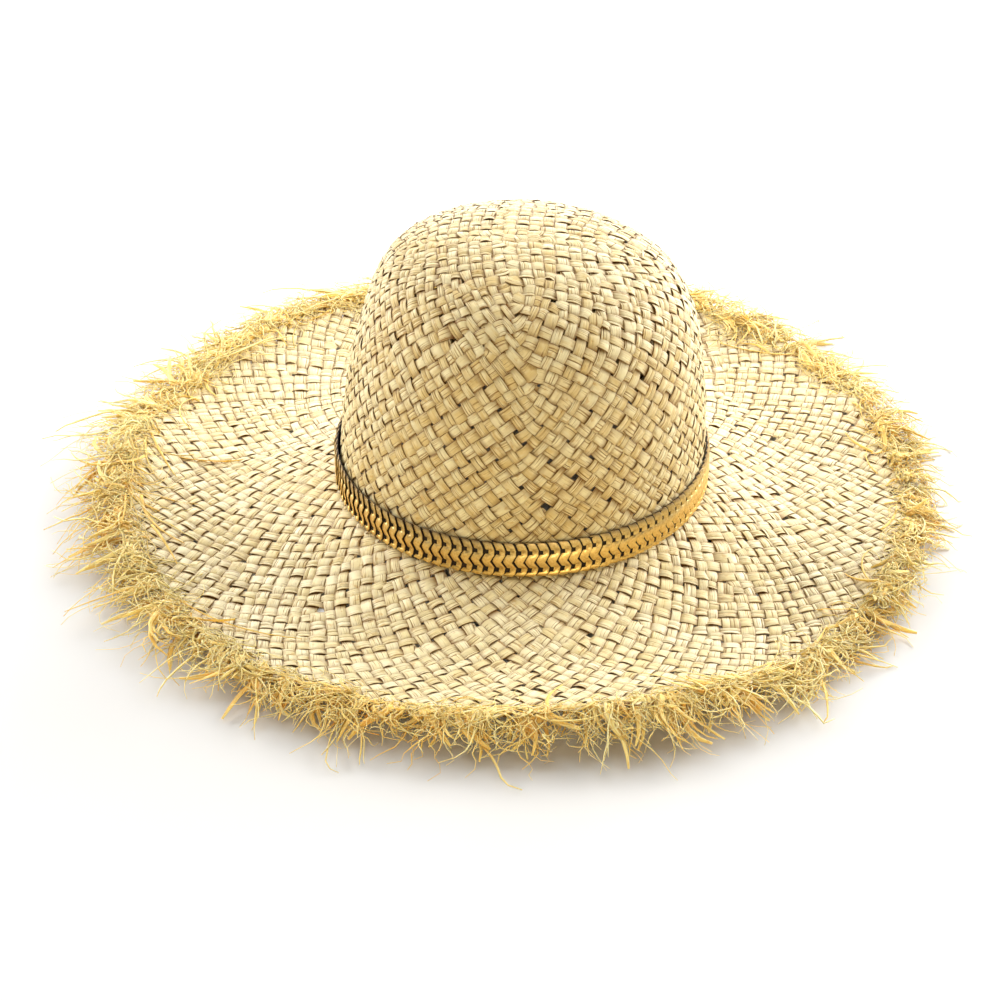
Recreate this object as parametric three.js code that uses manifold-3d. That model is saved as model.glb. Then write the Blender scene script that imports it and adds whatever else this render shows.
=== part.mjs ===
// Floppy straw hat: a woven dome crown on a wide wavy brim, with a raw frayed edge
// and a zigzag metal chain round the foot of the crown.
// Millimetres, +Z up, the front of the hat towards -Y, lying by itself on z = 0.
import * as THREE from 'three';
import { mergeVertices } from 'three/addons/utils/BufferGeometryUtils.js';
import Module from 'manifold-3d';

// Driving dimensions
const STRAW_WALL = 1.8;         // thickness of the woven straw
const CLEARANCE = 0.3;          // gap between neighbouring pieces
const CROWN_FOOT_Z = 13.7;      // top of the brim where the crown stands on it
const CROWN_DEPTH_RATIO = 1.04; // front-to-back over side-to-side of the oval crown
const CROWN_COLUMNS = 48;
const CROWN_ROWS = 13;
const BRIM_COLUMNS = 72;
const BRIM_RINGS = 8;
const DIP_POSITION = 0.5;       // where the brim is lowest, as a share of its width
const INNER_SLOPE_POWER = 1.35; // how sharply the brim turns down from the crown
const OUTER_SLOPE_POWER = 1.6;  // how softly it turns up to its edge

// Crown sections above its foot: half width and sideways lean of the dome
const CROWN_SECTIONS = [
  { height: 0, radius: 92, lean: 0 },
  { height: 30.5, radius: 90.4, lean: 0.9 },
  { height: 61.5, radius: 87.2, lean: 2.2 },
  { height: 86, radius: 82, lean: 3.3 },
  { height: 105, radius: 74.8, lean: 2.4 },
  { height: 118, radius: 62.4, lean: -1.6 },
  { height: 126.4, radius: 41.2, lean: -5.3 },
  { height: 130.4, radius: 19.1, lean: -8 },
  { height: 131.3, radius: 0, lean: -9 },
];

// Brim and fringe round the hat, counter-clockwise from +X in degrees.
// edge and edgeZ: radius and height of the woven edge. dipZ: height that the low stretch
// between crown and edge would have if the surface under it did not flatten it.
// reach and tipZ: radius and height of the fringe's tips.
const BRIM_SECTIONS = [
  { azimuth: -170, edge: 201, edgeZ: 13, dipZ: 4, reach: 241, tipZ: 7 },
  { azimuth: -155, edge: 199, edgeZ: 11, dipZ: 2.2, reach: 240, tipZ: 5.5 },
  { azimuth: -140, edge: 200, edgeZ: 11, dipZ: 0.4, reach: 233, tipZ: 6 },
  { azimuth: -110, edge: 203, edgeZ: 12.5, dipZ: 3, reach: 230, tipZ: 7 },
  { azimuth: -75, edge: 203, edgeZ: 17.5, dipZ: 4.5, reach: 231, tipZ: 7.5 },
  { azimuth: -48, edge: 200, edgeZ: 7.5, dipZ: 0.4, reach: 226, tipZ: 5 },
  { azimuth: -24, edge: 196, edgeZ: 11, dipZ: 2.6, reach: 218.5, tipZ: 5 },
  { azimuth: 3, edge: 195, edgeZ: 3, dipZ: 0.6, reach: 217, tipZ: 2 },
  { azimuth: 24, edge: 197.5, edgeZ: 7.7, dipZ: 3, reach: 222, tipZ: 4.5 },
  { azimuth: 36, edge: 198, edgeZ: 6, dipZ: 2.6, reach: 228, tipZ: 3.5 },
  { azimuth: 56, edge: 201, edgeZ: 11.2, dipZ: 3.4, reach: 235, tipZ: 7 },
  { azimuth: 90, edge: 203, edgeZ: 9.3, dipZ: 0.4, reach: 238, tipZ: 5.5 },
  { azimuth: 130, edge: 203, edgeZ: 13.7, dipZ: 3.2, reach: 238, tipZ: 9.5 },
  { azimuth: 156, edge: 201.5, edgeZ: 8.2, dipZ: 0.6, reach: 238.5, tipZ: 5.5 },
  { azimuth: 172, edge: 202, edgeZ: 16, dipZ: 3.4, reach: 241, tipZ: 11 },
];

// Chain band
const CHAIN_LINKS = 117;
const CHAIN_HEIGHT = 18.5;
const CHAIN_LOOSENESS = 0.5;    // the chain's back stands off the crown's foot by this much
const PLATE_THICKNESS = 0.9;
const PLATE_LIFT = 1.1;         // how far a plate's raised edge stands over the next
const PLATE_ZIGZAG = 0.5;       // sideways swing of a plate's edge, in link pitches
const PLATE_ROWS = [
  { up: 0, swing: 0 },
  { up: 0.25, swing: 1 },
  { up: 0.5, swing: 0 },
  { up: 0.75, swing: 1 },
  { up: 1, swing: 0 },
];

// Frayed edge: a ragged skirt of straw ends round the brim, with loose locks over it
const SKIRT_POINTS = 76;
const SKIRT_RINGS = [
  { along: 0, thickness: 2.6 },
  { along: 0.5, thickness: 2.4 },
  { along: 1, thickness: 0.8 },
];
const NOTCH_DEPTH = 0.52;       // length of the skirt between two points over its full length
const POINT_SPREAD = 0.36;      // scatter of the points' lengths
const POINT_LEAN = 0.42;        // scatter of the points' sideways lean, in point spacings
const LOCK_COUNT = 40;
const LOCK_WIDTH = 7;
const LOCK_THICKNESS = 2;
const LOCK_SETBACK = 1.2;       // from the brim's edge to a loose lock's root
const LOCK_LIFT = 1.3;          // height of a loose lock's root over the skirt
const LOCK_LENGTH = 0.85;       // over the fringe's full length
const LOCK_LEAN = 0.5;          // sideways lean over its length, at most
const LOCK_STATIONS = [
  { along: 0, width: 1, thickness: 1 },
  { along: 0.55, width: 0.8, thickness: 0.8 },
  { along: 1, width: 0.16, thickness: 0.4 },
];
const LOWEST_STRAW_Z = 0.4;

const TURN = 2 * Math.PI;
const radians = (degrees) => degrees * Math.PI / 180;
const mix = (a, b, t) => a + (b - a) * t;

// Repeatable scatter between 0 and 1
function scatter(index, seed) {
  const value = Math.sin(index * 12.9898 + seed * 78.233) * 43758.5453;
  return value - Math.floor(value);
}

// Smooth curve through the rows of a table, by central slopes
function smooth(before, from, to, after, t) {
  const slopeFrom = (to.y - before.y) / (to.x - before.x);
  const slopeTo = (after.y - from.y) / (after.x - from.x);
  const step = to.x - from.x;
  const t2 = t * t;
  const t3 = t2 * t;
  return (2 * t3 - 3 * t2 + 1) * from.y + (t3 - 2 * t2 + t) * step * slopeFrom
    + (3 * t2 - 2 * t3) * to.y + (t3 - t2) * step * slopeTo;
}

// A column of BRIM_SECTIONS at any azimuth, in degrees, closed round the hat
function brimColumn(column, azimuth) {
  const count = BRIM_SECTIONS.length;
  const first = BRIM_SECTIONS[0].azimuth;
  const angle = first + (((azimuth - first) % 360) + 360) % 360;
  const row = (i) => ({
    x: BRIM_SECTIONS[(i + count) % count].azimuth + 360 * Math.floor(i / count),
    y: BRIM_SECTIONS[(i + count) % count][column],
  });
  let i = 0;
  while (row(i + 1).x <= angle) i += 1;
  const t = (angle - row(i).x) / (row(i + 1).x - row(i).x);
  return smooth(row(i - 1), row(i), row(i + 1), row(i + 2), t);
}

// A column of CROWN_SECTIONS at a place counted in rows of the table
function crownColumn(column, place) {
  const last = CROWN_SECTIONS.length - 1;
  const from = Math.min(Math.floor(place), last - 1);
  const mirrored = { height: 1, radius: -1, lean: 1 };
  const row = (k) => {
    if (k < 0) return { x: k, y: 2 * CROWN_SECTIONS[0][column] - CROWN_SECTIONS[1][column] };
    if (k > last) return { x: k, y: mirrored[column] * CROWN_SECTIONS[2 * last - k][column] };
    return { x: k, y: CROWN_SECTIONS[k][column] };
  };
  return smooth(row(from - 1), row(from), row(from + 1), row(from + 2), place - from);
}

// Crown profile in rows of even length, with the direction square to the wall
function crownProfile() {
  const fine = [];
  const steps = 400;
  let length = 0;
  for (let i = 0; i <= steps; i += 1) {
    const place = (CROWN_SECTIONS.length - 1) * i / steps;
    const at = {
      radius: crownColumn('radius', place),
      height: crownColumn('height', place),
      lean: crownColumn('lean', place),
    };
    if (i > 0) length += Math.hypot(at.radius - fine[i - 1].radius, at.height - fine[i - 1].height);
    fine.push({ ...at, length });
  }
  const rows = [];
  for (let k = 0; k <= CROWN_ROWS; k += 1) {
    const wanted = length * k / CROWN_ROWS;
    const i = Math.min(Math.max(fine.findIndex((p) => p.length >= wanted), 1), steps);
    const slope = Math.atan2(fine[i].height - fine[i - 1].height, fine[i].radius - fine[i - 1].radius);
    rows.push({ ...fine[i === 1 ? 0 : i], outward: Math.sin(slope), upward: -Math.cos(slope) });
  }
  rows[0] = { ...rows[0], outward: 1, upward: 0 };
  rows[CROWN_ROWS] = { ...fine[steps], outward: 0, upward: 1 };
  return rows;
}

// Half width of the oval crown in a direction
const ovalRadius = (radius, angle) => (
  radius / Math.hypot(Math.cos(angle), Math.sin(angle) / CROWN_DEPTH_RATIO)
);

// Closed geometry from corner points and the triangles between them
function closedGeometry(points, triangles) {
  const geometry = new THREE.BufferGeometry();
  geometry.setAttribute('position', new THREE.Float32BufferAttribute(points.flat(), 3));
  geometry.setIndex(triangles.flat());
  return geometry;
}

// Surface of rings that closes round the hat and on itself: ring k joins ring k + 1,
// and the last ring joins the first. Rings run counter-clockwise.
function ringedGeometry(rings) {
  const columns = rings[0].length;
  const triangles = [];
  rings.forEach((ring, k) => {
    const next = (k + 1) % rings.length;
    for (let j = 0; j < columns; j += 1) {
      const a = k * columns + j;
      const b = k * columns + (j + 1) % columns;
      const c = next * columns + (j + 1) % columns;
      const d = next * columns + j;
      triangles.push([a, b, c], [a, c, d]);
    }
  });
  return closedGeometry(rings.flat(), triangles);
}

// Crown: outer and inner dome joined at the foot, with one point at the top of each
function crownGeometry() {
  const profile = crownProfile();
  const ringAt = (row, inset) => {
    const radius = row.radius - inset * row.outward;
    const z = CROWN_FOOT_Z + CLEARANCE + row.height - inset * row.upward;
    return Array.from({ length: CROWN_COLUMNS }, (_, j) => {
      const angle = TURN * j / CROWN_COLUMNS;
      return [
        row.lean + radius * Math.cos(angle),
        CROWN_DEPTH_RATIO * radius * Math.sin(angle),
        z,
      ];
    });
  };
  const walls = profile.slice(0, CROWN_ROWS);
  const outer = walls.map((row) => ringAt(row, 0));
  const inner = walls.map((row) => ringAt(row, STRAW_WALL)).reverse();
  const rings = [...inner, ...outer];
  const points = rings.flat();
  const triangles = [];
  for (let k = 0; k < rings.length - 1; k += 1) {
    for (let j = 0; j < CROWN_COLUMNS; j += 1) {
      const a = k * CROWN_COLUMNS + j;
      const b = k * CROWN_COLUMNS + (j + 1) % CROWN_COLUMNS;
      triangles.push([a, b, b + CROWN_COLUMNS], [a, b + CROWN_COLUMNS, a + CROWN_COLUMNS]);
    }
  }
  const top = profile[CROWN_ROWS];
  const topZ = CROWN_FOOT_Z + CLEARANCE + top.height;
  points.push([top.lean, 0, topZ], [top.lean, 0, topZ - STRAW_WALL]);
  const lastRing = (rings.length - 1) * CROWN_COLUMNS;
  for (let j = 0; j < CROWN_COLUMNS; j += 1) {
    const next = (j + 1) % CROWN_COLUMNS;
    triangles.push([lastRing + j, lastRing + next, points.length - 2]);
    triangles.push([next, j, points.length - 1]);
  }
  return closedGeometry(points, triangles);
}

// Top of the brim at a share of its width, from the crown's inside to the woven edge
function brimPoint(share, angle) {
  const azimuth = angle * 180 / Math.PI;
  const innerRadius = ovalRadius(CROWN_SECTIONS[0].radius - STRAW_WALL, angle);
  const radius = mix(innerRadius, brimColumn('edge', azimuth), share);
  const dipZ = brimColumn('dipZ', azimuth);
  const inside = share < DIP_POSITION;
  const away = inside ? 1 - share / DIP_POSITION : (share - DIP_POSITION) / (1 - DIP_POSITION);
  const rise = inside ? CROWN_FOOT_Z - dipZ : brimColumn('edgeZ', azimuth) - dipZ;
  const z = dipZ + rise * away ** (inside ? INNER_SLOPE_POWER : OUTER_SLOPE_POWER);
  return [radius * Math.cos(angle), radius * Math.sin(angle), Math.max(z, STRAW_WALL)];
}

// Brim: the top sheet, and under it the same sheet one wall lower
function brimGeometry() {
  const rings = Array.from({ length: BRIM_RINGS + 1 }, (_, k) => (
    Array.from({ length: BRIM_COLUMNS }, (__, j) => brimPoint(k / BRIM_RINGS, TURN * j / BRIM_COLUMNS))
  ));
  const under = rings.map((ring) => ring.map(([x, y, z]) => [x, y, z - STRAW_WALL]));
  return ringedGeometry([...under, ...rings.slice().reverse()]);
}

// Chain: plates that overlap like shingles, their raised edges cut in a zigzag
function chainGeometry() {
  const footRadius = CROWN_SECTIONS[0].radius + CHAIN_LOOSENESS;
  const pitch = TURN / CHAIN_LINKS;
  const columnAt = (angle, radius, z) => [
    radius * Math.cos(angle), CROWN_DEPTH_RATIO * radius * Math.sin(angle), z,
  ];
  const points = [];
  const outerPoints = 2 * PLATE_ROWS.length;
  const linkPoints = outerPoints + 2;
  const outerIndex = (link, edge, row) => (
    (link % CHAIN_LINKS) * linkPoints + edge * PLATE_ROWS.length + row
  );
  const innerIndex = (link, row) => (link % CHAIN_LINKS) * linkPoints + outerPoints + row;
  const bottomZ = CROWN_FOOT_Z + CLEARANCE;
  for (let link = 0; link < CHAIN_LINKS; link += 1) {
    const start = pitch * link;
    for (const radius of [footRadius + PLATE_THICKNESS + PLATE_LIFT, footRadius + PLATE_THICKNESS]) {
      for (const row of PLATE_ROWS) {
        const angle = start + pitch * PLATE_ZIGZAG * row.swing;
        points.push(columnAt(angle, radius, bottomZ + CHAIN_HEIGHT * row.up));
      }
    }
    points.push(columnAt(start, footRadius, bottomZ));
    points.push(columnAt(start, footRadius, bottomZ + CHAIN_HEIGHT));
  }
  const triangles = [];
  const quad = (a, b, c, d) => triangles.push([a, b, c], [a, c, d]);
  const topRow = PLATE_ROWS.length - 1;
  for (let link = 0; link < CHAIN_LINKS; link += 1) {
    for (let row = 0; row < topRow; row += 1) {
      const raised = outerIndex(link, 0, row);
      const sunk = outerIndex(link, 1, row);
      const nextRaised = outerIndex(link + 1, 0, row);
      quad(raised, sunk, sunk + 1, raised + 1);
      quad(sunk, nextRaised, nextRaised + 1, sunk + 1);
    }
    const inner = innerIndex(link, 0);
    const nextInner = innerIndex(link + 1, 0);
    quad(nextInner, inner, inner + 1, nextInner + 1);
    triangles.push([outerIndex(link, 1, 0), outerIndex(link, 0, 0), inner]);
    triangles.push([outerIndex(link, 1, 0), inner, nextInner]);
    triangles.push([outerIndex(link, 1, 0), nextInner, outerIndex(link + 1, 0, 0)]);
    triangles.push([outerIndex(link, 0, topRow), outerIndex(link, 1, topRow), inner + 1]);
    triangles.push([inner + 1, outerIndex(link, 1, topRow), nextInner + 1]);
    triangles.push([nextInner + 1, outerIndex(link, 1, topRow), outerIndex(link + 1, 0, topRow)]);
  }
  return closedGeometry(points, triangles);
}

// Height of the fringe at a share of its length, from the edge down to its tips
function fringeZ(azimuth, along) {
  const edgeZ = brimColumn('edgeZ', azimuth);
  return mix(edgeZ, brimColumn('tipZ', azimuth), along * along);
}

// Skirt: a sheet that starts at the brim's edge and ends in a row of ragged points
function skirtGeometry() {
  const columns = 2 * SKIRT_POINTS;
  const column = (j, along) => {
    const isPoint = j % 2 === 1;
    const lean = isPoint ? along * POINT_LEAN * 2 * (scatter(j, 3) - 0.5) : 0;
    const azimuth = 360 * (j + 2 * lean) / columns;
    const start = Math.hypot(...brimPoint(1, radians(azimuth)).slice(0, 2)) + CLEARANCE;
    const spread = 1 + POINT_SPREAD * (scatter(j, 4) - 0.5);
    const share = along * spread * (isPoint ? 1 : NOTCH_DEPTH);
    return { azimuth, share, radius: mix(start, brimColumn('reach', azimuth), share) };
  };
  const ring = ({ along, thickness }, isTop) => Array.from({ length: columns }, (_, j) => {
    const { azimuth, share, radius } = column(j, along);
    const angle = radians(azimuth);
    const bottom = Math.max(fringeZ(azimuth, share) - thickness, LOWEST_STRAW_Z);
    return [radius * Math.cos(angle), radius * Math.sin(angle), bottom + (isTop ? thickness : 0)];
  });
  return ringedGeometry([
    ...SKIRT_RINGS.map((row) => ring(row, false)),
    ...SKIRT_RINGS.map((row) => ring(row, true)).reverse(),
  ]);
}

// One loose lock: a flat tapering bundle of straw ends that lies over the skirt
function lockGeometry(index) {
  const place = (index + 0.6 * scatter(index, 5)) / LOCK_COUNT;
  const angle = TURN * place;
  const azimuth = 360 * place;
  const [x, y] = brimPoint(1, angle);
  const rootRadius = Math.hypot(x, y) + LOCK_SETBACK;
  const spread = 1 + POINT_SPREAD * (scatter(index, 6) - 0.5);
  const length = (brimColumn('reach', azimuth) - rootRadius) * LOCK_LENGTH * spread;
  const lean = LOCK_LEAN * 2 * (scatter(index, 7) - 0.5);
  const rings = LOCK_STATIONS.map(({ along, width, thickness }) => {
    const out = rootRadius + length * along;
    const aside = length * along * lean;
    const halfWidth = LOCK_WIDTH * width / 2;
    const height = LOCK_THICKNESS * thickness;
    const top = fringeZ(azimuth, along * LOCK_LENGTH) + LOCK_LIFT * (1 - 0.5 * along);
    const low = Math.max(top - height, LOWEST_STRAW_Z);
    const corners = [[-halfWidth, low], [halfWidth, low], [halfWidth, low + height],
      [-halfWidth, low + height]];
    return corners.map(([across, z]) => [
      out * Math.cos(angle) - (aside + across) * Math.sin(angle),
      out * Math.sin(angle) + (aside + across) * Math.cos(angle),
      z,
    ]);
  });
  const points = rings.flat();
  const triangles = [[0, 2, 1], [0, 3, 2]];
  const end = points.length - 4;
  triangles.push([end, end + 1, end + 2], [end, end + 2, end + 3]);
  for (let k = 0; k < rings.length - 1; k += 1) {
    for (let j = 0; j < 4; j += 1) {
      const a = 4 * k + j;
      const b = 4 * k + (j + 1) % 4;
      triangles.push([a, b, b + 4], [a, b + 4, a + 4]);
    }
  }
  return closedGeometry(points, triangles);
}

// Fringe: the skirt and the loose locks joined into one solid
async function fringeGeometry() {
  const wasm = await Module();
  wasm.setup();
  const toSolid = (geometry) => {
    const merged = mergeVertices(geometry);
    return new wasm.Manifold(new wasm.Mesh({
      numProp: 3,
      vertProperties: new Float32Array(merged.attributes.position.array),
      triVerts: new Uint32Array(merged.index.array),
    }));
  };
  let fringe = toSolid(skirtGeometry());
  for (let i = 0; i < LOCK_COUNT; i += 1) fringe = fringe.add(toSolid(lockGeometry(i)));
  const mesh = fringe.getMesh();
  const geometry = new THREE.BufferGeometry();
  geometry.setAttribute('position', new THREE.BufferAttribute(mesh.vertProperties, 3));
  geometry.setIndex(new THREE.BufferAttribute(mesh.triVerts, 1));
  return geometry;
}

// Named mesh with its own finish
function piece(name, geometry, color, roughness, metalness) {
  geometry.computeVertexNormals();
  const mesh = new THREE.Mesh(geometry, new THREE.MeshStandardMaterial({ color, roughness, metalness }));
  mesh.name = name;
  return mesh;
}

const hat = new THREE.Group();
hat.add(piece('crown', crownGeometry(), 0xe2cf96, 0.7, 0));
hat.add(piece('brim', brimGeometry(), 0xe8d9a4, 0.7, 0));
hat.add(piece('fringe', await fringeGeometry(), 0xdcc07a, 0.75, 0));
hat.add(piece('chain_band', chainGeometry(), 0xb98a3c, 0.35, 1));

// The origin is under the middle of the hat's outline, on the surface it lies on
const outline = new THREE.Box3().setFromObject(hat);
const middle = outline.getCenter(new THREE.Vector3());
hat.position.set(-middle.x, -middle.y, -outline.min.z);
hat.updateMatrixWorld(true);

export default hat;
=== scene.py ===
import math

import bpy
import numpy as np
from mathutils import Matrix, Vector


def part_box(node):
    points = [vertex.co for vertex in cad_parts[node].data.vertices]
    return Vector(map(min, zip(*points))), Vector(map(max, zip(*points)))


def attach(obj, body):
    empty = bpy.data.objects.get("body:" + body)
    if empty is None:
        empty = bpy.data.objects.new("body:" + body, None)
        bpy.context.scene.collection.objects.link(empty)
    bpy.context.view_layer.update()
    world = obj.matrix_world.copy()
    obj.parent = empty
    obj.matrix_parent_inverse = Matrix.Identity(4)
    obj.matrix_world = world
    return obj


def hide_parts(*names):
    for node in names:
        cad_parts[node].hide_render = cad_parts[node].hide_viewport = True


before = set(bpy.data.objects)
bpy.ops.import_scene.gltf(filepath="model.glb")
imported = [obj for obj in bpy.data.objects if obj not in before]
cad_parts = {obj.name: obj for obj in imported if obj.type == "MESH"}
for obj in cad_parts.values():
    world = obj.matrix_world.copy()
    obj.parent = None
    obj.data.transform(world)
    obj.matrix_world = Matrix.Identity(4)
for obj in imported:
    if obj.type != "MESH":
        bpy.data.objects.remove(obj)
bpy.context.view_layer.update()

# Lengths below are millimetres, and the meshes are made in metres
MM = 0.001
TURN = 2 * math.pi
rng = np.random.default_rng(38)

# Hat form, the same tables as the solids
STRAW_WALL = 1.8
CLEARANCE = 0.3
CROWN_FOOT_Z = 13.7
CROWN_DEPTH_RATIO = 1.04
DIP_POSITION = 0.5
INNER_SLOPE_POWER = 1.35
OUTER_SLOPE_POWER = 1.6

# height above the foot, half width, sideways lean
CROWN_SECTIONS = np.array([
    (0, 92, 0),
    (30.5, 90.4, 0.9),
    (61.5, 87.2, 2.2),
    (86, 82, 3.3),
    (105, 74.8, 2.4),
    (118, 62.4, -1.6),
    (126.4, 41.2, -5.3),
    (130.4, 19.1, -8),
    (131.3, 0, -9),
])

# azimuth in degrees, radius and height of the woven edge, height of the dip,
# radius and height of the fringe's tips
BRIM_COLUMNS = ("azimuth", "edge", "edge_z", "dip_z", "reach", "tip_z")
BRIM_SECTIONS = np.array([
    (-170, 201, 13, 4, 241, 7),
    (-155, 199, 11, 2.2, 240, 5.5),
    (-140, 200, 11, 0.4, 233, 6),
    (-110, 203, 12.5, 3, 230, 7),
    (-75, 203, 17.5, 4.5, 231, 7.5),
    (-48, 200, 7.5, 0.4, 226, 5),
    (-24, 196, 11, 2.6, 218.5, 5),
    (3, 195, 3, 0.6, 217, 2),
    (24, 197.5, 7.7, 3, 222, 4.5),
    (36, 198, 6, 2.6, 228, 3.5),
    (56, 201, 11.2, 3.4, 235, 7),
    (90, 203, 9.3, 0.4, 238, 5.5),
    (130, 203, 13.7, 3.2, 238, 9.5),
    (156, 201.5, 8.2, 0.6, 238.5, 5.5),
    (172, 202, 16, 3.4, 241, 11),
])

# The hat's own axis, under the middle of the chain band
band_low, band_high = (np.array(corner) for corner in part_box("chain_band"))
AXIS = (band_low + band_high) / 2 / MM * np.array([1, 1, 0])


# Smooth curve through unevenly spaced rows, by central slopes
def smooth(x, y, at):
    slopes = np.empty_like(y)
    slopes[1:-1] = (y[2:] - y[:-2]) / (x[2:] - x[:-2])
    i = np.clip(np.searchsorted(x, at, side="right") - 1, 1, len(x) - 3)
    step = x[i + 1] - x[i]
    t = (at - x[i]) / step
    t2, t3 = t * t, t * t * t
    return ((2 * t3 - 3 * t2 + 1) * y[i] + (t3 - 2 * t2 + t) * step * slopes[i]
            + (3 * t2 - 2 * t3) * y[i + 1] + (t3 - t2) * step * slopes[i + 1])


# A column of BRIM_SECTIONS at any azimuth in radians, closed round the hat
def brim_column(name, angle):
    rows = BRIM_SECTIONS
    azimuth, values = rows[:, 0], rows[:, BRIM_COLUMNS.index(name)]
    x = np.concatenate([azimuth - 360, azimuth, azimuth + 360])
    y = np.concatenate([values] * 3)
    at = (np.degrees(angle) - azimuth[0]) % 360 + azimuth[0]
    return smooth(x, y, at)


# Crown profile of the wall's middle from its top down to its foot, by path length
def crown_profile():
    last = len(CROWN_SECTIONS) - 1
    before = 2 * CROWN_SECTIONS[0] - CROWN_SECTIONS[1]
    after = CROWN_SECTIONS[last - 1] * np.array([1, -1, 1])
    rows = np.vstack([before, CROWN_SECTIONS, after])
    places = np.arange(-1.0, last + 2)
    at = np.linspace(0, last, 400)[::-1]
    height, radius, lean = (smooth(places, rows[:, c], at) for c in range(3))
    slope_r, slope_z = np.gradient(radius), np.gradient(height)
    size = np.hypot(slope_r, slope_z)
    outward, upward = -slope_z / size, slope_r / size
    length = np.concatenate([[0], np.cumsum(np.hypot(np.diff(radius), np.diff(height)))])
    inset = STRAW_WALL / 2
    radius = np.maximum(radius - inset * outward, 0)
    height = height + CROWN_FOOT_Z + CLEARANCE - inset * upward
    return length, radius, height, lean


PATH, PATH_RADIUS, PATH_Z, PATH_LEAN = crown_profile()
CROWN_PATH = PATH[-1]
BRIM_PATH = 106.0


# Half width of the oval crown in a direction
def oval_radius(radius, angle):
    return radius / np.hypot(np.cos(angle), np.sin(angle) / CROWN_DEPTH_RATIO)


# Middle of the brim's wall at a share of its width
def brim_point(share, angle):
    inner = oval_radius(CROWN_SECTIONS[0][1] - STRAW_WALL, angle)
    radius = inner + (brim_column("edge", angle) - inner) * share
    dip_z = brim_column("dip_z", angle)
    inside = share < DIP_POSITION
    away = np.where(inside, 1 - share / DIP_POSITION, (share - DIP_POSITION) / (1 - DIP_POSITION))
    away = np.maximum(away, 0)
    z_inside = dip_z + (CROWN_FOOT_Z - dip_z) * away ** INNER_SLOPE_POWER
    z_outside = dip_z + (brim_column("edge_z", angle) - dip_z) * away ** OUTER_SLOPE_POWER
    z = np.maximum(np.where(inside, z_inside, z_outside), STRAW_WALL) - STRAW_WALL / 2
    return np.stack([radius * np.cos(angle), radius * np.sin(angle), z], -1)


# The whole hat as one sheet: a point by its path length from the crown's top, and azimuth
def hat_point(path, angle):
    path, angle = np.broadcast_arrays(path, angle)
    on_crown = np.minimum(path, CROWN_PATH)
    radius = np.interp(on_crown, PATH, PATH_RADIUS)
    lean = np.interp(on_crown, PATH, PATH_LEAN)
    crown = np.stack([lean + radius * np.cos(angle), CROWN_DEPTH_RATIO * radius * np.sin(angle),
                      np.interp(on_crown, PATH, PATH_Z)], -1)
    share = (path - CROWN_PATH) / BRIM_PATH
    brim = brim_point(np.maximum(share, 0), angle)
    return np.where((path <= CROWN_PATH)[..., None], crown, brim)


# Step in mm from a point to the neighbours that give its normal
NORMAL_STEP = 0.4


# Point and outward normal of the sheet at a place on its flat chart
def chart_to_hat(chart):
    path = np.hypot(chart[..., 0], chart[..., 1])
    angle = np.arctan2(chart[..., 1], chart[..., 0])
    point = hat_point(path, angle)
    side = np.where(path > CROWN_PATH, 1, -1)
    ahead = hat_point(path + side * NORMAL_STEP, angle) - point
    turn = NORMAL_STEP / np.maximum(path, NORMAL_STEP)
    across = hat_point(path, angle + turn) - point
    normal = np.cross(ahead, across) * side[..., None]
    return point, normal / np.maximum(np.linalg.norm(normal, axis=-1, keepdims=True), 1e-9)


# Weave: crossings lie on rings that grow from a square mat at the crown's top
MAT_RINGS = 9
MAT_PITCH = 5.8
MAT_REACH = 0.86 * MAT_RINGS * MAT_PITCH
CROWN_RING_STEP = 4.05
CROWN_SPACING = 8.0
BRIM_RING_STEP = 4.4
BRIM_SPACING = (8.3, 8.9)
CROWN_RINGS = MAT_RINGS + round((CROWN_PATH - MAT_REACH) / CROWN_RING_STEP)
BRIM_RINGS = round(BRIM_PATH / BRIM_RING_STEP)
ALL_RINGS = CROWN_RINGS + BRIM_RINGS
STRIP_PITCH = 5.8

# Spread of the strips' widths, their limits, and the share of it that shows in each width
WIDTH_SPREAD = 0.15
WIDTH_FACTORS = (0.7, 1.3)
WIDTH_SHARE = 0.5

# A strip's shift is measured against the strips near it on each side, and comes in over its
# first crossings and over these rings
NEAR_STRIPS = 4
EASE_CROSSINGS = 4
SHIFT_RINGS = (4, 10)

# Slack of the crossings in mm, and the least radius in mm on which a shift turns them
SLACK = 0.16
LEAST_RADIUS = 20

# Added strips: the most on one ring, and the parts of a gap that set a fold's sides from its middle
MOST_ADDED = 7
FOLD_PARTS = 5

# Choice of the gaps that take them: chance, distance from the mat's corners, from strips added
# on the last rings and from one another, in radians
CHANCE = 0.35
CORNER_RINGS = 8
CORNER_ANGLE = 0.2
CORNER_PENALTY = 2
RECENT_ANGLE = 0.09
RECENT_PENALTY = 1.2
APART_ANGLE = 0.16

# Settling of the crossings: rounds, step, and pull along a ring against that along a strip
SETTLE_ROUNDS = 60
SETTLE_STEP = 0.7
RING_PULL = 0.7


# Path length from the crown's top to a ring of crossings
def ring_path(ring, angle):
    mat_edge = MAT_RINGS * MAT_PITCH / (np.abs(np.cos(angle)) + np.abs(np.sin(angle)))
    if ring <= CROWN_RINGS:
        t = (ring - MAT_RINGS) / (CROWN_RINGS - MAT_RINGS)
        return mat_edge + (CROWN_PATH - mat_edge) * t
    return CROWN_PATH + BRIM_PATH * (ring - CROWN_RINGS) / BRIM_RINGS + 0 * angle


# Number of crossings that fit on a ring
def ring_count(ring):
    angle = np.linspace(0, TURN, 241)
    loop = hat_point(ring_path(ring, angle), angle)
    girth = np.linalg.norm(np.diff(loop, axis=0), axis=1).sum()
    share = max(0, (ring - CROWN_RINGS) / BRIM_RINGS)
    near, far = BRIM_SPACING
    spacing = CROWN_SPACING if share == 0 else near + share * (far - near)
    return round(girth / spacing)


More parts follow.
